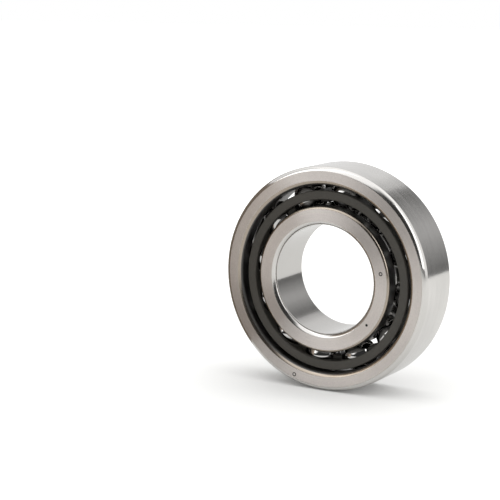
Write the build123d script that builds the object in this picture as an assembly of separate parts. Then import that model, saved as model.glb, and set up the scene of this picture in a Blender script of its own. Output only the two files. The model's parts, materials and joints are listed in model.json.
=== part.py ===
"""Single-row angular contact ball bearing, 30 x 62 x 16 mm, with a 15 degree contact angle.

The bearing turns about +Y, and its origin is the centre of the bore at mid width. The outer
ring's full shoulder, its thrust side, faces -Y; its relieved side, which lets the balls and
the moulded cage in, faces +Y. The two rings' side faces are flush. Lengths are millimetres.
"""

from math import cos, radians, sin, sqrt, tan
import os

from build123d import *

# Boundary sizes
bore_diameter = 30.0
outer_diameter = 62.0
ring_width = 16.0

# Rolling elements
ball_diameter = 9.525
ball_count = 12
contact_angle = 15.0
first_ball_angle = -9.5  # of the first ball's centre, from +X towards +Z

# Raceways
outer_race_conformity = 0.53  # raceway radius over ball diameter
inner_race_conformity = 0.52
race_gap = 0.04  # between an unloaded ball and each raceway, along the contact line
outer_shoulder_height = 1.91  # of the outer ring's full shoulder, above the raceway's bottom
inner_shoulder_height = 1.91  # of both of the inner ring's shoulders
relief_lip = 0.46  # left above the raceway's bottom on the outer ring's relieved side
relief_taper = 2.0  # degrees that the relief opens towards its face
race_edge_break = 0.2

# Ring corners: each is an arc that meets its two faces at a slight break
outer_corner = 1.3
bore_corner = 1.1
outer_shoulder_corner = 1.15
inner_shoulder_corner = 0.65
relief_corner = 0.45
corner_fullness = 1.45  # corner arc's radius over the corner's size

# Cage, one moulding that the balls guide
cage_shoulder_gap = 1.1  # from the outer ring's full shoulder in to the cage
cage_wall = 2.5
cage_relief_gap = 1.75  # from the outer ring's relief in to the cage's far rim
cage_face_recess = 1.9  # from a ring's side face in to the cage's
cage_edge_chamfer = 0.2
cage_step_run = 0.8  # length of the cone up to the far rim
far_rim_width = 2.4
lip_reach = 1.8  # from the pitch circle in to the tops of the lips that keep the balls in
lip_width = 5.0
lip_chamfer = 0.3
pocket_end_clearance = 0.19  # between a ball and its pocket's flat end walls, along the axis
pocket_clearance = 0.62  # between a ball and its pocket, round the ring and across it
cage_drop = 0.55  # that the cage hangs under the bearing's axis, by its pockets' clearance

# Worked out from the sizes above
half_width = ring_width / 2
bore_radius = bore_diameter / 2
outer_radius = outer_diameter / 2
pitch_radius = (bore_radius + outer_radius) / 2
ball_radius = ball_diameter / 2
ball_pitch_angle = 360 / ball_count


def corner_arc(start, end, size):
    """A convex corner arc from start to end, a little flatter than a tangent fillet."""
    return RadiusArc(start, end, size * corner_fullness)


def race_centre(race_radius, towards_outer):
    """Centre of a raceway's arc, in (radius, axis), so that it meets the ball on the contact line."""
    offset = race_radius - ball_radius - race_gap
    angle = radians(contact_angle)
    sign = -1 if towards_outer else 1
    return (pitch_radius + sign * offset * cos(angle), -sign * offset * sin(angle))


outer_race_radius = outer_race_conformity * ball_diameter
inner_race_radius = inner_race_conformity * ball_diameter
outer_race_centre = race_centre(outer_race_radius, towards_outer=True)
inner_race_centre = race_centre(inner_race_radius, towards_outer=False)
outer_race_bottom = outer_race_centre[0] + outer_race_radius
inner_race_bottom = inner_race_centre[0] - inner_race_radius
outer_shoulder_radius = outer_race_bottom - outer_shoulder_height
inner_shoulder_radius = inner_race_bottom + inner_shoulder_height
relief_radius = outer_race_bottom - relief_lip


def race_meets(centre, race_radius, radius, side):
    """Where a raceway's arc reaches a given radius, on the -Y or +Y side."""
    reach = sqrt(race_radius**2 - (radius - centre[0]) ** 2)
    return (radius, centre[1] + side * reach)


def turned(edges, edge_breaks):
    """Revolves a closed (radius, axis) outline about the bearing's axis, its race edges rounded."""
    face = make_face(edges)
    sharp = [
        vertex
        for vertex in face.vertices()
        if any((vertex.center() - Vector(*point, 0)).length < 1e-4 for point in edge_breaks)
    ]
    face = fillet(sharp, race_edge_break)
    return revolve(face, axis=Axis.Y)


def outer_ring():
    """Ring with a deep raceway, a full shoulder towards -Y and a tapered relief towards +Y."""
    shoulder_radius = outer_shoulder_radius
    shoulder_edge = race_meets(outer_race_centre, outer_race_radius, shoulder_radius, -1)
    relief_edge = race_meets(outer_race_centre, outer_race_radius, relief_radius, 1)
    relief_end = half_width - relief_corner
    relief_end_radius = relief_radius + (relief_end - relief_edge[1]) * tan(radians(relief_taper))
    race_bottom = (outer_race_bottom, outer_race_centre[1])

    edges = [
        Line((outer_radius, outer_corner - half_width), (outer_radius, half_width - outer_corner)),
        corner_arc(
            (outer_radius, half_width - outer_corner),
            (outer_radius - outer_corner, half_width),
            -outer_corner,
        ),
        Line(
            (outer_radius - outer_corner, half_width),
            (relief_end_radius + relief_corner, half_width),
        ),
        corner_arc(
            (relief_end_radius + relief_corner, half_width),
            (relief_end_radius, relief_end),
            -relief_corner,
        ),
        Line((relief_end_radius, relief_end), relief_edge),
        ThreePointArc(relief_edge, race_bottom, shoulder_edge),
        Line(shoulder_edge, (shoulder_radius, outer_shoulder_corner - half_width)),
        corner_arc(
            (shoulder_radius, outer_shoulder_corner - half_width),
            (shoulder_radius + outer_shoulder_corner, -half_width),
            -outer_shoulder_corner,
        ),
        Line(
            (shoulder_radius + outer_shoulder_corner, -half_width),
            (outer_radius - outer_corner, -half_width),
        ),
        corner_arc(
            (outer_radius - outer_corner, -half_width),
            (outer_radius, outer_corner - half_width),
            -outer_corner,
        ),
    ]
    return turned(edges, [shoulder_edge, relief_edge])


def inner_ring():
    """Ring with a raceway between two equal shoulders."""
    shoulder_radius = inner_shoulder_radius
    back_edge = race_meets(inner_race_centre, inner_race_radius, shoulder_radius, -1)
    front_edge = race_meets(inner_race_centre, inner_race_radius, shoulder_radius, 1)
    race_bottom = (inner_race_bottom, inner_race_centre[1])

    edges = [
        Line((bore_radius, half_width - bore_corner), (bore_radius, bore_corner - half_width)),
        corner_arc(
            (bore_radius, bore_corner - half_width),
            (bore_radius + bore_corner, -half_width),
            -bore_corner,
        ),
        Line(
            (bore_radius + bore_corner, -half_width),
            (shoulder_radius - inner_shoulder_corner, -half_width),
        ),
        corner_arc(
            (shoulder_radius - inner_shoulder_corner, -half_width),
            (shoulder_radius, inner_shoulder_corner - half_width),
            -inner_shoulder_corner,
        ),
        Line((shoulder_radius, inner_shoulder_corner - half_width), back_edge),
        ThreePointArc(back_edge, race_bottom, front_edge),
        Line(front_edge, (shoulder_radius, half_width - inner_shoulder_corner)),
        corner_arc(
            (shoulder_radius, half_width - inner_shoulder_corner),
            (shoulder_radius - inner_shoulder_corner, half_width),
            -inner_shoulder_corner,
        ),
        Line(
            (shoulder_radius - inner_shoulder_corner, half_width),
            (bore_radius + bore_corner, half_width),
        ),
        corner_arc(
            (bore_radius + bore_corner, half_width),
            (bore_radius, half_width - bore_corner),
            -bore_corner,
        ),
    ]
    return turned(edges, [back_edge, front_edge])


def ball_place(index):
    """Place of a ball: its centre on the pitch circle, its X axis pointing out from the bearing's axis."""
    angle = first_ball_angle + index * ball_pitch_angle
    return Rot(0, -angle, 0) * Pos(pitch_radius, 0, 0)


def ball(index):
    """One ball, with its poles on the axis that it rolls about."""
    return ball_place(index) * Rot(0, 0, -contact_angle) * Rot(90, 0, 0) * Sphere(ball_radius)


def cage():
    """Two rims joined by bars, with a round pocket for each ball, all hanging by the pockets' play.

    The pockets close over the balls from outside. Inside, a lip on each bar reaches past the
    pitch circle and closes over them again, so that the balls snap in and stay.
    """
    outer = outer_shoulder_radius - cage_shoulder_gap
    inner = outer - cage_wall
    far_rim = relief_radius - cage_relief_gap
    lip = pitch_radius - lip_reach
    half = half_width - cage_face_recess
    step_end = half - far_rim_width
    cut = cage_edge_chamfer
    rim_section = Polyline(
        (inner, cut - half),
        (inner + cut, -half),
        (outer - cut, -half),
        (outer, cut - half),
        (outer, step_end - cage_step_run),
        (far_rim, step_end),
        (far_rim, half - cut),
        (far_rim - cut, half),
        (inner + cut, half),
        (inner, half - cut),
        close=True,
    )
    lip_section = Polyline(
        (inner, -lip_width / 2 - lip_chamfer),
        (lip + lip_chamfer, -lip_width / 2 - lip_chamfer),
        (lip, -lip_width / 2),
        (lip, lip_width / 2),
        (lip + lip_chamfer, lip_width / 2 + lip_chamfer),
        (inner, lip_width / 2 + lip_chamfer),
        close=True,
    )
    rim = revolve(make_face(rim_section), axis=Axis.Y)
    lips = revolve(make_face(lip_section), axis=Axis.Y)
    reach = 2 * (ball_radius + pocket_clearance)
    pocket = Sphere(reach / 2) & Box(reach, 2 * (ball_radius + pocket_end_clearance), reach)
    pockets = [ball_place(index) * pocket for index in range(ball_count)]
    return Pos(0, 0, -cage_drop) * (rim + lips - pockets)


def main():
    os.makedirs("parts", exist_ok=True)
    pieces = {"outer_ring": outer_ring(), "inner_ring": inner_ring(), "cage": cage()}
    for index in range(ball_count):
        pieces[f"ball_{index + 1:02d}"] = ball(index)
    for name, piece in pieces.items():
        export_step(piece, f"parts/{name}.step")


main()
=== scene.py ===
"""Single-row angular contact ball bearing, standing on its rim on a pale studio floor.

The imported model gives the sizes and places: the bearing turns about +Y, its origin is
the centre of the bore, and its full outer shoulder faces -Y. The rings and balls are
remade here with their ground, turned and lapped surfaces, and the moulded cage keeps
its own solid. Lengths are in metres.
"""

import json
import math
from typing import NamedTuple

import bmesh
import bpy
from bpy.props import FloatProperty, FloatVectorProperty, IntProperty, PointerProperty
from mathutils import Matrix, Vector


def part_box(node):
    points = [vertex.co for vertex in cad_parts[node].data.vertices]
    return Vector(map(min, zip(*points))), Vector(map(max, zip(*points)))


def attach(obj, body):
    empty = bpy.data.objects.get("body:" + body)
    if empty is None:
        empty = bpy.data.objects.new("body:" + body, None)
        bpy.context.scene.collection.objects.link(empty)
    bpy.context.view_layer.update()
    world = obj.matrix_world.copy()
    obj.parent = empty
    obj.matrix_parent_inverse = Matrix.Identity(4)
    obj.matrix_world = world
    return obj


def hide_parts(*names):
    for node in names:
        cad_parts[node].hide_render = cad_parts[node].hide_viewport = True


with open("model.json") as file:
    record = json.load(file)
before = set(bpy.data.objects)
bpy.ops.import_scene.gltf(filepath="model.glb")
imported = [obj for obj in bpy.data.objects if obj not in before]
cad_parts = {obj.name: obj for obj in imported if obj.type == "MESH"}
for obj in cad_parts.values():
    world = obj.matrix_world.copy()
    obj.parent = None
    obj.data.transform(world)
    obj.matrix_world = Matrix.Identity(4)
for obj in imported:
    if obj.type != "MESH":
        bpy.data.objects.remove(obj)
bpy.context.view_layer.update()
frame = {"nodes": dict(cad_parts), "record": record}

bl_info = {
    "name": "Angular contact bearing",
    "version": (1, 0, 0),
    "blender": (4, 5, 0),
    "location": "View3D > Sidebar > Bearing",
    "description": "Builds an angular contact ball bearing and its studio",
    "category": "Object",
}

MM = 0.001
MICRON = 1e-6
FULL_TURN = 2 * math.pi
AXIS = Vector((0, 1, 0))
WHITE = (1, 1, 1, 1)
BALL_NODES = sorted(node for node in frame["nodes"] if node.startswith("ball_"))

# A ring's zones, numbered as its list of materials runs.
GROUND_ROUND, GROUND_SIDE, TURNED_CORNER = 0, 1, 2
HONED_RACE, TURNED_SHOULDER, SHOULDER_CORNER = 3, 4, 5
# A face whose centre is this close to a ground surface lies on it.
CLOSE = 0.004 * MM
# Share of the outer shoulder's corner, next to the side face, with a dull finish and a
# darkened, browned colour: painted shade and a painted brown reflection.
DULL_SHADED_SHARE = 0.38


def mount_radius(name):
    """Radius that the record states for one of the bearing's round mounts."""
    mounts = {mount["name"]: mount for mount in frame["record"]["mounts"]}
    return mounts[name]["dims"]["r_mm"] * MM


def node_centre(node):
    low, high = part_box(node)
    return (low + high) / 2


OUTER_RADIUS = mount_radius("outer_seat")
BORE_RADIUS = mount_radius("bore")
HALF_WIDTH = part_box("outer_ring")[1].y
SHOULDER_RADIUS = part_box("inner_ring")[1].x
BALL_RADIUS = (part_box("ball_01")[1].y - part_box("ball_01")[0].y) / 2
PITCH_RADIUS = Vector((node_centre("ball_01").x, node_centre("ball_01").z)).length
FLOOR = -OUTER_RADIUS


# Sizes and colours


class BearingSizes(bpy.types.PropertyGroup):
    """Sizes of the rings' surfaces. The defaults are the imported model's own."""

    outer_shoulder: FloatProperty(
        name="Outer shoulder radius",
        description="Radius of the outer ring's full shoulder",
        default=25.9 * MM,
        unit="LENGTH",
        precision=5,
    )
    relief: FloatProperty(
        name="Relief radius",
        description="Radius where the outer ring's relieved side starts",
        default=27.35 * MM,
        unit="LENGTH",
        precision=5,
    )
    relief_taper: FloatProperty(
        name="Relief taper",
        description="Angle that the relief opens towards its face",
        default=math.radians(2),
        subtype="ANGLE",
    )
    contact_angle: FloatProperty(
        name="Contact angle",
        description="Angle of the line through a ball's two contacts",
        default=math.radians(15),
        subtype="ANGLE",
    )
    outer_race: FloatProperty(
        name="Outer raceway radius",
        description="Radius of the outer ring's groove in section",
        default=0.53 * 2 * BALL_RADIUS,
        unit="LENGTH",
        precision=5,
    )
    inner_race: FloatProperty(
        name="Inner raceway radius",
        description="Radius of the inner ring's groove in section",
        default=0.52 * 2 * BALL_RADIUS,
        unit="LENGTH",
        precision=5,
    )
    race_gap: FloatProperty(
        name="Raceway gap",
        description="Gap between an unloaded ball and each raceway",
        default=0.04 * MM,
        unit="LENGTH",
        precision=6,
    )
    outer_corner: FloatProperty(
        name="Outer corner",
        description="Size of the corners between the outside and the side faces",
        default=1.3 * MM,
        unit="LENGTH",
        precision=5,
    )
    bore_corner: FloatProperty(
        name="Bore corner",
        description="Size of the corners between the bore and the side faces",
        default=1.1 * MM,
        unit="LENGTH",
        precision=5,
    )
    outer_shoulder_corner: FloatProperty(
        name="Outer shoulder corner",
        description="Size of the corner between the outer shoulder and its side face",
        default=1.15 * MM,
        unit="LENGTH",
        precision=5,
    )
    inner_shoulder_corner: FloatProperty(
        name="Inner shoulder corner",
        description="Size of the corners between the inner shoulders and side faces",
        default=0.65 * MM,
        unit="LENGTH",
        precision=5,
    )
    relief_corner: FloatProperty(
        name="Relief corner",
        description="Size of the corner between the relief and its side face",
        default=0.45 * MM,
        unit="LENGTH",
        precision=5,
    )
    corner_fullness: FloatProperty(
        name="Corner fullness",
        description="Radius of a corner's arc over the corner's size",
        default=1.45,
        min=1,
    )
    race_break: FloatProperty(
        name="Raceway edge break",
        description="Rounding where a raceway meets a shoulder or the relief",
        default=0.15 * MM,
        unit="LENGTH",
        precision=6,
    )
    hold: FloatProperty(
        name="Held edge",
        description="Distance from a flat's end within which its shading turns",
        default=0.15 * MM,
        unit="LENGTH",
        precision=6,
    )
    edge_break: FloatProperty(
        name="Edge break",
        description="Rounding where a ground face meets a corner",
        default=0.07 * MM,
        unit="LENGTH",
        precision=6,
    )
    steps_round: IntProperty(
        name="Steps round a ring",
        description="Faces round each ring",
        default=288,
        min=48,
    )


class BearingColours(bpy.types.PropertyGroup):
    """Base colours of the steel and of the cage, as linear values."""

    ring_steel: FloatVectorProperty(
        name="Ring steel",
        description="Colour of the hardened, ground rings",
        subtype="COLOR",
        default=(0.66, 0.645, 0.625),
    )
    side_steel: FloatVectorProperty(
        name="Side face steel",
        description="Colour of the rings' ground side faces",
        subtype="COLOR",
        default=(0.655, 0.61, 0.58),
    )
    ball_steel: FloatVectorProperty(
        name="Ball steel",
        description="Colour of the lapped balls",
        subtype="COLOR",
        default=(0.6, 0.59, 0.58),
    )
    cage: FloatVectorProperty(
        name="Cage",
        description="Colour of the cage's moulded polyamide",
        subtype="COLOR",
        default=(0.060, 0.0555, 0.047),
    )
    mark: FloatVectorProperty(
        name="Etched mark",
        description="Colour of the small etched marks",
        subtype="COLOR",
        default=(0.03, 0.03, 0.03),
    )


class StudioSettings(bpy.types.PropertyGroup):
    """Brightness of the studio's lamps and cards, where 1 renders white."""

    daylight: FloatProperty(
        name="Daylight",
        description="Soft light from all round",
        default=0.45,
    )
    overhead: FloatProperty(
        name="Overhead softbox",
        description="Radiance of the softbox above the bearing",
        default=1.4,
    )
    side: FloatProperty(
        name="Side softbox",
        description="Radiance of the softbox to the right of the bearing",
        default=1.55,
    )
    left: FloatProperty(
        name="Left wall",
        description="Radiance of the white wall to the left of the bearing",
        default=0.98,
    )
    front: FloatProperty(
        name="Front softbox",
        description="Radiance of the softbox in front of the bearing, at its left",
        default=1.95,
    )
    panel: FloatProperty(
        name="Grey panel",
        description="Radiance of the grey panel behind the bearing",
        default=0.53,
    )
    room: FloatProperty(
        name="Dark room",
        description="Radiance of the room behind the camera",
        default=0.04,
    )


# Node helpers


class Nodes:
    """Short way to add linked nodes to a tree."""

    def __init__(self, tree):
        self.tree = tree
        tree.nodes.clear()

    def add(self, kind, inputs=None, **settings):
        node = self.tree.nodes.new(kind)
        for name, value in settings.items():
            setattr(node, name, value)
        for name, value in (inputs or {}).items():
            if isinstance(value, bpy.types.NodeSocket):
                self.tree.links.new(value, node.inputs[name])
            else:
                node.inputs[name].default_value = value
        return node

    def maths(self, operation, first, second=0.0):
        node = self.add("ShaderNodeMath", {0: first, 1: second}, operation=operation)
        return node.outputs[0]

    def vectors(self, operation, inputs):
        """A vector sum. The answer to a length or a distance is a number."""
        node = self.add("ShaderNodeVectorMath", inputs, operation=operation)
        answer = "Value" if operation in ("LENGTH", "DISTANCE") else "Vector"
        return node.outputs[answer]

    def mix(self, factor, first, second):
        return self.add("ShaderNodeMix", {0: factor, 2: first, 3: second}).outputs[0]

    def place(self):
        """Place in the room, because every object sits at the origin."""
        return self.add("ShaderNodeTexCoord").outputs["Object"]

    def parts(self, vector):
        return self.add("ShaderNodeSeparateXYZ", {0: vector}).outputs

    def remap(self, value, low, high, to_low, to_high):
        """value from low..high to to_low..to_high, held at both ends."""
        inputs = {
            "Value": value,
            "From Min": low,
            "From Max": high,
            "To Min": to_low,
            "To Max": to_high,
        }
        return self.add("ShaderNodeMapRange", inputs, clamp=True).outputs[0]

    def noise(self, vector, scale, detail, roughness):
        inputs = {
            "Vector": vector,
            "Scale": scale,
            "Detail": detail,
            "Roughness": roughness,
        }
        return self.add("ShaderNodeTexNoise", inputs).outputs[0]

    def spread(self, noise, low, high):
        """low..high over the middle range, which noise seldom leaves."""
        return self.remap(noise, 0.3, 0.7, low, high)

    def tint(self, colour, noise, low, high):
        """colour made darker or lighter by noise, from low to high."""
        shade = self.spread(noise, low, high)
        return self.vectors("SCALE", {0: colour, "Scale": shade})

    def bump(self, height, distance, normal=None):
        inputs = {"Strength": 1.0, "Distance": distance, "Height": height}
        if normal is not None:
            inputs["Normal"] = normal
        return self.add("ShaderNodeBump", inputs).outputs[0]

    def surface(self, inputs):
        """Ends a material in a principled shader."""
        shader = self.add("ShaderNodeBsdfPrincipled", inputs)
        self.add("ShaderNodeOutputMaterial", {"Surface": shader.outputs[0]})


def new_material(name):
    material = bpy.data.materials.new(name)
    material.use_nodes = True
    return material, Nodes(material.node_tree)


# Materials


class Mark(NamedTuple):
    """A small circle etched in a ring's -Y face, or a dot where it has no hole."""

    angle: float  # round the axis, in degrees
    radius: float  # from the axis to the mark's centre
    size: float  # radius of the mark itself
    hole: float = 0.0  # radius of its bare middle


OUTER_MARKS = [Mark(252.5, 28.8 * MM, 0.6 * MM, 0.34 * MM)]
INNER_MARKS = [
    Mark(321, 17.5 * MM, 0.4 * MM),
    Mark(10.8, 17.9 * MM, 0.58 * MM, 0.32 * MM),
]
# Width over which a mark's edge fades.
MARK_EDGE = 0.05 * MM


class Finish(NamedTuple):
    """How a steel surface is worked."""

    share: tuple  # of the steel's red, green and blue
    roughness: float
    stray: float  # of the roughness, either way
    lay: float  # depth of the marks round the axis
    grit: float  # depth of the grain over them
    anisotropy: float = 0.0
    shade: float = 0.04  # stray of the tone, either way
    fleck: float = 0.0  # weight of the grain in the tone
    steel: str = "ring_steel"  # the colour that it starts from


ROUND_GROUND = Finish(
    share=(1, 1, 1),
    roughness=0.14,
    stray=0.04,
    lay=0.9 * MICRON,
    grit=0.3 * MICRON,
    anisotropy=0.7,
    shade=0.11,
    fleck=0.6,
)
BORE_GROUND = Finish(
    share=(0.88, 0.88, 0.88),
    roughness=0.14,
    stray=0.02,
    lay=0.6 * MICRON,
    grit=0.2 * MICRON,
    anisotropy=0.6,
)
SIDE_GROUND = Finish(
    share=(1, 1, 1),
    roughness=0.4,
    stray=0.03,
    lay=1.0 * MICRON,
    grit=2.4 * MICRON,
    anisotropy=0.9,
    shade=0.09,
    fleck=0.9,
    steel="side_steel",
)
CORNER_TURNED = Finish(
    share=(1, 1, 1),
    roughness=0.16,
    stray=0.02,
    lay=0.5 * MICRON,
    grit=0.2 * MICRON,
)
# The raceway's and the shoulders' steel keeps only part of its colour. This is painted
# shade, which darkens the gap between the rings.
RACE_HONED_PAINTED_SHADE = Finish(
    share=(0.6, 0.6, 0.6),
    roughness=0.16,
    stray=0.02,
    lay=0.2 * MICRON,
    grit=0.1 * MICRON,
)
SHOULDER_TURNED_PAINTED_SHADE = Finish(
    share=(0.22, 0.22, 0.22),
    roughness=0.42,
    stray=0.04,
    lay=1.2 * MICRON,
    grit=0.3 * MICRON,
)
# The dulled corner is rougher, and its steel is also darkened and browned. That colour
# is painted shade and a painted brown reflection.
CORNER_DULLED_PAINTED_SHADE = Finish(
    share=(0.606, 0.543, 0.472),
    roughness=0.22,
    stray=0.02,
    lay=0.5 * MICRON,
    grit=0.2 * MICRON,
)


def round_place(nodes, place):
    """Distance from the bearing's axis, place along it and direction round it."""
    flat = off_axis(nodes, place)
    distance = nodes.vectors("LENGTH", {0: flat})
    return distance, nodes.parts(place)[1], nodes.vectors("NORMALIZE", {0: flat})


def off_axis(nodes, place):
    """The part of a place that points away from the bearing's axis."""
    parts = nodes.parts(place)
    return nodes.add("ShaderNodeCombineXYZ", {0: parts[0], 2: parts[2]}).outputs[0]


def lay_noise(nodes, turned, per_turn, per_metre, detail, roughness):
    """Seamless noise stretched round the axis, as grinding and turning leave it."""
    distance, along, heading = turned
    slow = nodes.vectors("SCALE", {0: heading, "Scale": per_turn})
    across = nodes.maths("MULTIPLY", distance, per_metre)
    down = nodes.maths("MULTIPLY", along, per_metre)
    fine = nodes.add("ShaderNodeCombineXYZ", {0: across, 1: down, 2: across})
    stretched = nodes.vectors("ADD", {0: slow, 1: fine.outputs[0]})
    return nodes.noise(stretched, 1.0, detail, roughness)


def mark_mask(nodes, place, marks):
    """1 on the marks and 0 elsewhere, which is all of the +Y side."""
    flat = off_axis(nodes, place)
    mask = 0.0
    for mark in marks:
        turn = math.radians(mark.angle)
        spot = (mark.radius * math.cos(turn), 0, mark.radius * math.sin(turn))
        away = nodes.vectors("DISTANCE", {0: flat, 1: spot})
        inked = nodes.remap(away, mark.size - MARK_EDGE, mark.size, 1, 0)
        if mark.hole:
            bare = nodes.remap(away, mark.hole - MARK_EDGE, mark.hole, 0, 1)
            inked = nodes.maths("MULTIPLY", inked, bare)
        mask = nodes.maths("MAXIMUM", inked, mask)
    near_side = nodes.remap(nodes.parts(place)[1], -MARK_EDGE, 0, 1, 0)
    return nodes.maths("MULTIPLY", mask, near_side)


def steel(name, finish, marks=()):
    """Bare steel with marks round the axis and a fine grain, made once by name."""
    if name in bpy.data.materials:
        return bpy.data.materials[name]
    colours = bpy.context.scene.bearing_colours
    base = zip(getattr(colours, finish.steel), finish.share)
    material, nodes = new_material(name)
    place = nodes.place()
    turned = round_place(nodes, place)
    streaks = lay_noise(
        nodes, turned, per_turn=1.3, per_metre=2600, detail=4.0, roughness=0.6
    )
    scratches = lay_noise(
        nodes, turned, per_turn=2.1, per_metre=9000, detail=2.0, roughness=0.5
    )
    grain = nodes.noise(place, scale=5200, detail=2.0, roughness=0.6)
    cloud = nodes.noise(place, scale=95, detail=3.0, roughness=0.5)
    blotch = nodes.maths("MULTIPLY", nodes.maths("ADD", cloud, streaks), 0.5)
    flecks = nodes.maths("SUBTRACT", grain, 0.5)
    flecks = nodes.maths("MULTIPLY", flecks, finish.fleck)
    tone = nodes.maths("ADD", blotch, flecks)
    smooth, rough = finish.roughness - finish.stray, finish.roughness + finish.stray
    inputs = {
        "Base Color": nodes.tint(
            tuple(part * share for part, share in base),
            tone,
            1 - finish.shade,
            1 + finish.shade,
        ),
        "Metallic": 1.0,
        "Roughness": nodes.spread(blotch, smooth, rough),
        "Normal": nodes.bump(grain, finish.grit, nodes.bump(scratches, finish.lay)),
    }
    if marks:
        mask = mark_mask(nodes, place, marks)
        inked = {"Factor": mask, 4: inputs["Base Color"], 5: tuple(colours.mark)}
        inked = nodes.add("ShaderNodeMix", inked, data_type="VECTOR")
        inputs["Base Color"] = inked.outputs[1]
    if finish.anisotropy:
        tangent = nodes.add("ShaderNodeTangent", direction_type="RADIAL", axis="Y")
        inputs["Tangent"] = tangent.outputs[0]
        inputs["Anisotropic"] = finish.anisotropy
        inputs["Anisotropic Rotation"] = 0.25  # a quarter of a turn
    nodes.surface(inputs)
    return material


def ring_materials(round_name, round_finish, side_name, marks):
    """A ring's finishes, in the order that its zones are numbered in. The raceway's,
    the shoulders' and the dulled corner's steel is darkened: painted shade.
    """
    return [
        steel(round_name, round_finish),
        steel(side_name, SIDE_GROUND, marks),
        steel("turned_corner_steel", CORNER_TURNED),
        steel("honed_race_steel", RACE_HONED_PAINTED_SHADE),
        steel("turned_shoulder_steel", SHOULDER_TURNED_PAINTED_SHADE),
        steel("dull_corner_steel", CORNER_DULLED_PAINTED_SHADE),
    ]


def ball_material():
    """Lapped steel, all but a mirror, with the faintest cloud of fine scratches."""
    material, nodes = new_material("lapped_ball_steel")
    colour = tuple(bpy.context.scene.bearing_colours.ball_steel)
    place = nodes.place()
    cloud = nodes.noise(place, scale=700, detail=4.0, roughness=0.6)
    scratch = nodes.noise(place, scale=9000, detail=2.0, roughness=0.7)
    inputs = {
        "Base Color": nodes.tint(colour, cloud, 0.97, 1.02),
        "Metallic": 1.0,
        "Roughness": nodes.spread(cloud, 0.025, 0.05),
        "Normal": nodes.bump(scratch, 0.03 * MICRON),
    }
    nodes.surface(inputs)
    return material


def cage_material():
    """Matt moulded polyamide with its glass fibres just showing."""
    material, nodes = new_material("moulded_cage_polyamide")
    colour = tuple(bpy.context.scene.bearing_colours.cage)
    place = nodes.place()
    turned = round_place(nodes, place)
    flow = lay_noise(
        nodes, turned, per_turn=26, per_metre=1500, detail=3.0, roughness=0.6
    )
    speckle = nodes.noise(place, scale=4200, detail=3.0, roughness=0.65)
    cloud = nodes.noise(place, scale=160, detail=2.0, roughness=0.5)
    tone = 0.0
    for noise, weight in ((flow, 0.45), (speckle, 0.35), (cloud, 0.2)):
        tone = nodes.maths("ADD", nodes.maths("MULTIPLY", noise, weight), tone)
    inputs = {
        "Base Color": nodes.tint(colour, tone, 0.82, 1.2),
        "Roughness": nodes.spread(tone, 0.42, 0.58),
        "Specular IOR Level": 0.4,
        "Normal": nodes.bump(speckle, 6 * MICRON),
    }
    nodes.surface(inputs)
    return material


# Mesh helpers


def arc(start, end, radius, steps, bulge_left):
    """Points of an arc in (radius, axis), without its start."""
    start, end = Vector(start), Vector(end)
    chord = end - start
    bulge = Vector((-chord.y, chord.x)).normalized() * (1 if bulge_left else -1)
    depth = math.sqrt(radius**2 - (chord.length / 2) ** 2)
    centre = (start + end) / 2 - bulge * depth
    first, last = start - centre, end - centre
    turn = math.atan2(first.cross(last), first.dot(last))
    points = []
    for step in range(1, steps + 1):
        angle = turn * step / steps
        cos, sin = math.cos(angle), math.sin(angle)
        arm = (first.x * cos - first.y * sin, first.x * sin + first.y * cos)
        points.append(centre + Vector(arm))
    return points


class Outline:
    """Closed outline of a ring's section in (radius, axis), its steel on the left."""

    def __init__(self, hold):
        self.points = []
        self.sharp = []
        self.hold = hold

    def corner(self, point, edge_break):
        """A corner between two surfaces, and the size of its broken edge."""
        self.sharp.append((len(self.points), edge_break))
        self.points.append(Vector(point))
        return self

    def straight(self, end, edge_break):
        """A straight to a corner, held flat by a point close to each end."""
        start, end = self.points[-1], Vector(end)
        along = (end - start).normalized() * self.hold
        self.points += [start + along, end - along]
        return self.corner(end, edge_break)

    def curve(self, end, edge_break, radius, hollow=False, steps=8):
        """An arc to a corner, full unless it is hollow."""
        self.points += arc(self.points[-1], end, radius, steps, bulge_left=hollow)[:-1]
        return self.corner(end, edge_break)

    def closed(self):
        """The outline without its last corner, which is its first one again."""
        self.points.pop()
        self.sharp.pop()
        return self


def lathe(outline, steps_round):
    """Spins an outline about the bearing's axis, with its sharp corners broken."""
    shape = bmesh.new()
    verts = [shape.verts.new((point.x, point.y, 0)) for point in outline.points]
    for vert, following in zip(verts, verts[1:] + verts[:1]):
        shape.edges.new((vert, following))
    for size in sorted({size for _, size in outline.sharp}):
        corners = [index for index, edge_break in outline.sharp if edge_break == size]
        bmesh.ops.bevel(
            shape,
            geom=[verts[index] for index in corners],
            offset=size,
            offset_type="OFFSET",
            segments=3,
            profile=0.5,
            affect="VERTICES",
            material=-1,
        )
    bmesh.ops.spin(
        shape,
        geom=shape.verts[:] + shape.edges[:],
        cent=(0, 0, 0),
        axis=AXIS,
        angle=FULL_TURN,
        steps=steps_round,
        use_merge=True,
    )
    bmesh.ops.remove_doubles(shape, verts=shape.verts[:], dist=1e-8)
    bmesh.ops.recalc_face_normals(shape, faces=shape.faces[:])
    return shape


def finished_piece(name, shape, materials, zone=None):
    """A smooth-shaded object of a bmesh. zone gives each face its material's number."""
    for face in shape.faces:
        face.smooth = True
        if zone:
            centre = face.calc_center_median()
            face.material_index = zone(Vector((centre.x, centre.z)).length, centre.y)
    mesh = bpy.data.meshes.new(name)
    shape.to_mesh(mesh)
    shape.free()
    for material in materials:
        mesh.materials.append(material)
    piece = bpy.data.objects.new(name, mesh)
    bpy.context.scene.collection.objects.link(piece)
    return piece


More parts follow.
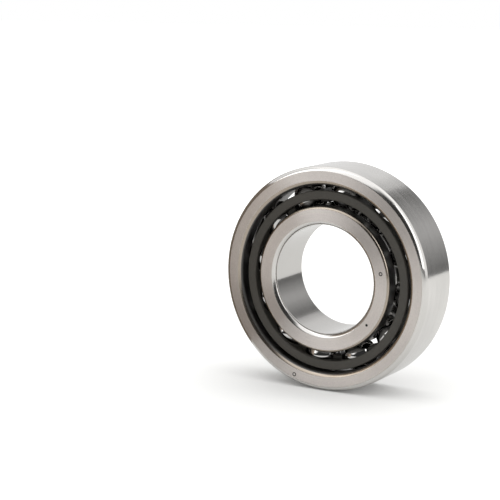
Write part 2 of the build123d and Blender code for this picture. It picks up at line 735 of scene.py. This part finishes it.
def race_centre(sizes, race_radius, side):
    """Centre of a raceway's arc: side is -1 for the outer ring's, 1 for the inner's."""
    offset = race_radius - BALL_RADIUS - sizes.race_gap
    return (
        PITCH_RADIUS + side * offset * math.cos(sizes.contact_angle),
        -side * offset * math.sin(sizes.contact_angle),
    )


def race_edge(centre, race_radius, radius, side):
    """Where a raceway's arc reaches a given radius, on the -Y or +Y side."""
    reach = math.sqrt(race_radius**2 - (radius - centre[0]) ** 2)
    return (radius, centre[1] + side * reach)


# Operators, one for each piece or group of like pieces


class BEARING_OT_outer_ring(bpy.types.Operator):
    """Make the outer ring, its full shoulder towards -Y and its relief towards +Y"""

    bl_idname = "bearing.outer_ring"
    bl_label = "Outer ring"

    def execute(self, context):
        sizes = context.scene.bearing_sizes
        width, outside, shoulder = HALF_WIDTH, OUTER_RADIUS, sizes.outer_shoulder
        centre = race_centre(sizes, sizes.outer_race, -1)
        shoulder_edge = race_edge(centre, sizes.outer_race, shoulder, -1)
        relief_edge = race_edge(centre, sizes.outer_race, sizes.relief, 1)
        relief_end = width - sizes.relief_corner
        opened = (relief_end - relief_edge[1]) * math.tan(sizes.relief_taper)
        relief_radius = sizes.relief + opened
        fine, race, big = sizes.edge_break, sizes.race_break, sizes.outer_corner
        small, least = sizes.outer_shoulder_corner, sizes.relief_corner
        full = sizes.corner_fullness
        outline = (
            Outline(sizes.hold)
            .corner((outside, big - width), fine)
            .straight((outside, width - big), fine)
            .curve((outside - big, width), fine, big * full)
            .straight((relief_radius + least, width), fine)
            .curve((relief_radius, relief_end), fine, least * full, steps=5)
            .straight(relief_edge, race)
            .curve(shoulder_edge, race, sizes.outer_race, hollow=True, steps=28)
            .straight((shoulder, small - width), fine)
            .curve((shoulder + small, -width), fine, small * full, steps=6)
            .straight((outside - big, -width), fine)
            .curve((outside, big - width), fine, big * full)
            .closed()
        )

        def zone(radius, along):
            if radius > outside - CLOSE:
                return GROUND_ROUND
            if abs(along) > width - CLOSE:
                return GROUND_SIDE
            if radius > outside - big or along > relief_end:
                return TURNED_CORNER
            if along < DULL_SHADED_SHARE * small - width:
                return SHOULDER_CORNER
            if shoulder_edge[1] < along < relief_edge[1]:
                return HONED_RACE
            return TURNED_SHOULDER

        ring = finished_piece(
            "outer_ring_finished",
            lathe(outline, sizes.steps_round),
            ring_materials(
                "ground_round_steel",
                ROUND_GROUND,
                "ground_side_steel_outer",
                OUTER_MARKS,
            ),
            zone,
        )
        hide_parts("outer_ring")
        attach(ring, "outer_ring")
        return {"FINISHED"}


class BEARING_OT_inner_ring(bpy.types.Operator):
    """Make the inner ring, with its raceway between two equal shoulders"""

    bl_idname = "bearing.inner_ring"
    bl_label = "Inner ring"

    def execute(self, context):
        sizes = context.scene.bearing_sizes
        width, bore, shoulder = HALF_WIDTH, BORE_RADIUS, SHOULDER_RADIUS
        centre = race_centre(sizes, sizes.inner_race, 1)
        back_edge = race_edge(centre, sizes.inner_race, shoulder, -1)
        front_edge = race_edge(centre, sizes.inner_race, shoulder, 1)
        fine, race = sizes.edge_break, sizes.race_break
        big, small = sizes.bore_corner, sizes.inner_shoulder_corner
        full = sizes.corner_fullness
        outline = (
            Outline(sizes.hold)
            .corner((shoulder, small - width), fine)
            .straight(back_edge, race)
            .curve(front_edge, race, sizes.inner_race, hollow=True, steps=28)
            .straight((shoulder, width - small), fine)
            .curve((shoulder - small, width), fine, small * full, steps=6)
            .straight((bore + big, width), fine)
            .curve((bore, width - big), fine, big * full)
            .straight((bore, big - width), fine)
            .curve((bore + big, -width), fine, big * full)
            .straight((shoulder - small, -width), fine)
            .curve((shoulder, small - width), fine, small * full, steps=6)
            .closed()
        )

        def zone(radius, along):
            if radius < bore + CLOSE:
                return GROUND_ROUND
            if abs(along) > width - CLOSE:
                return GROUND_SIDE
            if radius < bore + big:
                return TURNED_CORNER
            if abs(along) > width - small:
                return SHOULDER_CORNER
            if back_edge[1] < along < front_edge[1]:
                return HONED_RACE
            return TURNED_SHOULDER

        ring = finished_piece(
            "inner_ring_finished",
            lathe(outline, sizes.steps_round),
            ring_materials(
                "ground_bore_steel",
                BORE_GROUND,
                "ground_side_steel_inner",
                INNER_MARKS,
            ),
            zone,
        )
        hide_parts("inner_ring")
        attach(ring, "inner_ring")
        return {"FINISHED"}


class BEARING_OT_balls(bpy.types.Operator):
    """Make the twelve lapped steel balls"""

    bl_idname = "bearing.balls"
    bl_label = "Balls"

    def execute(self, context):
        material = ball_material()
        for node in BALL_NODES:
            shape = bmesh.new()
            bmesh.ops.create_icosphere(shape, subdivisions=5, radius=BALL_RADIUS)
            bmesh.ops.translate(shape, vec=node_centre(node), verts=shape.verts[:])
            piece = finished_piece(node + "_lapped", shape, [material])
            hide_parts(node)
            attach(piece, node)
        return {"FINISHED"}


class BEARING_OT_cage(bpy.types.Operator):
    """Give the moulded cage its polyamide"""

    bl_idname = "bearing.cage"
    bl_label = "Cage"

    def execute(self, context):
        slots = frame["nodes"]["cage"].data.materials
        slots.clear()
        slots.append(cage_material())
        return {"FINISHED"}


class BEARING_OT_studio(bpy.types.Operator):
    """Make the pale floor, the soft light and the camera"""

    bl_idname = "bearing.studio"
    bl_label = "Studio"

    def execute(self, context):
        settings = context.scene.bearing_studio
        make_floor()
        make_world(settings)
        softbox(
            "overhead_softbox",
            place=(0, 0, 0.62),
            facing=(0, 0, -1),
            width=1.3,
            height=1.3,
            radiance=settings.overhead,
        )
        softbox(
            "side_softbox",
            place=(0.52, 0.05, 0.22),
            facing=(-1, 0, -0.1),
            width=0.6,
            height=0.5,
            radiance=settings.side,
        )
        make_cards(settings)
        make_camera()
        context.scene.view_settings.view_transform = "Standard"
        return {"FINISHED"}


# Studio


def card(name, corners, radiance, colour=(1, 1, 1)):
    """A flat card that only reflections see.

    Its radiance is a number, or a function of its nodes that adds its own.
    """
    shape = bmesh.new()
    shape.faces.new([shape.verts.new(corner) for corner in corners])
    material, nodes = new_material(name)
    strength = radiance(nodes) if callable(radiance) else radiance
    inputs = {"Color": (*colour, 1), "Strength": strength}
    glow = nodes.add("ShaderNodeEmission", inputs)
    nodes.add("ShaderNodeOutputMaterial", {"Surface": glow.outputs[0]})
    piece = finished_piece(name, shape, [material])
    piece.visible_camera = False
    piece.visible_diffuse = False
    piece.visible_shadow = False


def upright(start, end, top, foot=FLOOR):
    """Corners of an upright card over a line of the floor from start to end."""
    return [(*start, foot), (*end, foot), (*end, top), (*start, top)]


def make_cards(settings):
    """The cards that the steel mirrors.

    A grey panel and a white sweep stand behind the bearing, side by side. A black flag
    of painted shade is at its left, a kraft card close along its left, and a narrow
    white card close to its right.
    """
    back = 0.335  # how far behind the bearing the panel and the sweep stand
    seam = 0.013  # how far to its right they meet

    def panel_glow(nodes):
        """Brightest round one spot, and about a third as bright away from it."""
        spot = (0.155, back, 0.115)
        away = nodes.vectors("DISTANCE", {0: nodes.place(), 1: spot})
        return nodes.remap(away, 0.02, 0.13, settings.panel, 0.36 * settings.panel)

    def sweep_glow(nodes):
        """Brighter the farther it is from the panel."""
        across = nodes.parts(nodes.place())[0]
        near = nodes.remap(across, -0.06, 0.02, 0.85, 0.5)
        far = nodes.remap(across, -0.2, -0.06, 0.06, 0)
        return nodes.maths("ADD", near, far)

    def kraft_glow(nodes):
        """Brightest at its near end."""
        along = nodes.parts(nodes.place())[1]
        return nodes.remap(along, -0.036, -0.022, 2.6, 1)

    card(
        "grey_panel",
        upright(start=(seam, back), end=(0.3, back), top=0.235),
        panel_glow,
    )
    card(
        "white_sweep",
        upright(start=(-0.5, back), end=(seam, back), top=0.6),
        sweep_glow,
    )
    # The black flag is a dark card that only reflections see. It stands where there is
    # only shade, so it is painted shade in the steel's reflections.
    card(
        "black_flag",
        upright(start=(-0.045, 0.012), end=(-0.19, 0.06), top=0.06),
        settings.room,
    )
    card(
        "white_card",
        upright(start=(0.042, -0.021), end=(0.044, -0.0115), top=0.057, foot=0.007),
        1.5 * settings.side,
    )
    card(
        "kraft_card",
        upright(start=(-0.0426, -0.0477), end=(-0.0386, 0.0366), top=0.037),
        kraft_glow,
        colour=(0.2, 0.164, 0.134),
    )


def softbox(name, place, facing, width, height, radiance):
    """An area lamp of a given radiance, where 1 reflects as white."""
    lamp = bpy.data.lights.new(name, "AREA")
    lamp.shape = "RECTANGLE"
    lamp.size, lamp.size_y = width, height
    lamp.energy = radiance * math.pi * width * height
    holder = bpy.data.objects.new(name, lamp)
    bpy.context.scene.collection.objects.link(holder)
    turn = Vector(facing).to_track_quat("-Z", "Y")
    holder.matrix_world = Matrix.LocRotScale(Vector(place), turn, None)
    holder.visible_glossy = False


def make_floor():
    """A pale floor that shows white where it is lit and keeps the soft shadow. Its glow
    is cut close to the bearing, which paints a darker shadow round its foot.
    """
    shape = bmesh.new()
    bmesh.ops.create_grid(shape, x_segments=1, y_segments=1, size=3)
    bmesh.ops.translate(shape, vec=(0, 0, FLOOR), verts=shape.verts[:])
    material, nodes = new_material("pale_floor")
    surface = nodes.add("ShaderNodeBsdfDiffuse", {"Color": (0.72, 0.72, 0.71, 1)})
    away = nodes.vectors("LENGTH", {0: nodes.place()})
    # Less glow close to the bearing: a painted shadow round its foot.
    painted_shadow_lift = nodes.remap(away, 0.032, 0.075, 0.1, 0.32)
    far_lift = nodes.remap(away, 0.1, 0.5, 0, 0.58)
    lift = nodes.maths("ADD", painted_shadow_lift, far_lift)
    path = nodes.add("ShaderNodeLightPath").outputs
    lift = nodes.maths("MULTIPLY", path["Is Camera Ray"], lift)
    glow = nodes.add("ShaderNodeEmission", {"Color": WHITE, "Strength": lift})
    both = nodes.add("ShaderNodeAddShader", {0: surface.outputs[0], 1: glow.outputs[0]})
    nodes.add("ShaderNodeOutputMaterial", {"Surface": both.outputs[0]})
    floor = finished_piece("floor", shape, [material])


def make_world(settings):
    """White to look at, plain daylight on matt surfaces, and bright boxes in gloss.

    Gloss sees white walls that run from the left one through the side softbox to a
    dimmer back, under the overhead softbox. A dark room is cut out of them in front,
    and the front softbox stands in that. Azimuth runs from -Y towards +X.
    """
    world = bpy.data.worlds.new("studio")
    world.use_nodes = True
    bpy.context.scene.world = world
    nodes = Nodes(world.node_tree)
    direction = nodes.add("ShaderNodeTexCoord").outputs["Generated"]
    x, y, z = nodes.parts(direction)
    azimuth = nodes.maths("ARCTAN2", x, nodes.maths("MULTIPLY", y, -1.0))
    elevation = nodes.maths("ARCSINE", z)

    def fade(angle, start, end, first, last):
        """first..last between two angles in degrees."""
        return nodes.remap(angle, math.radians(start), math.radians(end), first, last)

    def region(*edges):
        """1 inside all its edges, each an angle, where it gives 0 and where 1."""
        inside = 1.0
        for angle, outer, inner in edges:
            edge = fade(angle, outer, inner, 0, 1)
            inside = nodes.maths("MULTIPLY", edge, inside)
        return inside

    back_share = 0.68
    walls = fade(azimuth, -20, 20, settings.left, settings.side)
    walls = nodes.maths("MULTIPLY", walls, fade(azimuth, 74, 98, 1, back_share))
    bright = nodes.mix(region((elevation, 35, 60)), walls, settings.overhead)
    dark = region((azimuth, -75, -50), (azimuth, 86, 66), (elevation, 75, 50))
    seen = nodes.mix(dark, bright, settings.room)
    lean, near_share, far_share = 0.9, 1.3, 0.72
    leaning = nodes.maths("SUBTRACT", azimuth, nodes.maths("MULTIPLY", elevation, lean))
    box = region((azimuth, -60, -52), (leaning, -30, -40), (elevation, 6, 12))
    near, far = near_share * settings.front, far_share * settings.front
    seen = nodes.mix(box, seen, fade(azimuth, -50, -25, near, far))
    path = nodes.add("ShaderNodeLightPath").outputs
    shiny = nodes.maths("MAXIMUM", path["Is Glossy Ray"], path["Is Transmission Ray"])
    strength = nodes.mix(shiny, settings.daylight, seen)
    strength = nodes.mix(path["Is Camera Ray"], strength, 1.0)
    sky = nodes.add("ShaderNodeBackground", {"Color": WHITE, "Strength": strength})
    nodes.add("ShaderNodeOutputWorld", {"Surface": sky.outputs[0]})


def make_camera():
    """A long lens a little above the bearing's centre, to the right of its axis."""
    azimuth, elevation = math.radians(31.525), math.radians(9.774)
    distance, across, rise = 0.430664, -0.023838, 0.006990
    back = Vector(
        (
            math.sin(azimuth) * math.cos(elevation),
            -math.cos(azimuth) * math.cos(elevation),
            math.sin(elevation),
        )
    )
    right = Vector((math.cos(azimuth), math.sin(azimuth), 0))
    up = back.cross(right)
    focal_length, sensor_width = 112.4356, 36  # in millimetres
    lens = bpy.data.cameras.new("camera")
    lens.lens = focal_length
    lens.sensor_width = sensor_width
    camera = bpy.data.objects.new("camera", lens)
    bpy.context.scene.collection.objects.link(camera)
    turn = Matrix((right, up, back)).transposed().to_4x4()
    place = back * distance + right * across + up * rise
    camera.matrix_world = Matrix.Translation(place) @ turn
    bpy.context.scene.camera = camera


# Panel


class VIEW3D_PT_bearing(bpy.types.Panel):
    """The bearing's pieces, sizes and colours in the 3D view's sidebar"""

    bl_label = "Angular contact bearing"
    bl_space_type = "VIEW_3D"
    bl_region_type = "UI"
    bl_category = "Bearing"

    def draw(self, context):
        for operator in OPERATORS:
            self.layout.operator(operator.bl_idname)
        for name in SETTINGS:
            group = getattr(context.scene, name)
            for setting in group.__annotations__:
                self.layout.prop(group, setting)


SETTINGS = {
    "bearing_sizes": BearingSizes,
    "bearing_colours": BearingColours,
    "bearing_studio": StudioSettings,
}
OPERATORS = [
    BEARING_OT_outer_ring,
    BEARING_OT_inner_ring,
    BEARING_OT_balls,
    BEARING_OT_cage,
    BEARING_OT_studio,
]


def register():
    for group in (*SETTINGS.values(), *OPERATORS, VIEW3D_PT_bearing):
        bpy.utils.register_class(group)
    for name, group in SETTINGS.items():
        setattr(bpy.types.Scene, name, PointerProperty(type=group))


def unregister():
    for name in SETTINGS:
        delattr(bpy.types.Scene, name)
    for group in reversed((*SETTINGS.values(), *OPERATORS, VIEW3D_PT_bearing)):
        bpy.utils.unregister_class(group)


def main():
    register()
    bpy.ops.bearing.outer_ring()
    bpy.ops.bearing.inner_ring()
    bpy.ops.bearing.balls()
    bpy.ops.bearing.cage()
    bpy.ops.bearing.studio()


if __name__ == "__main__":
    main()
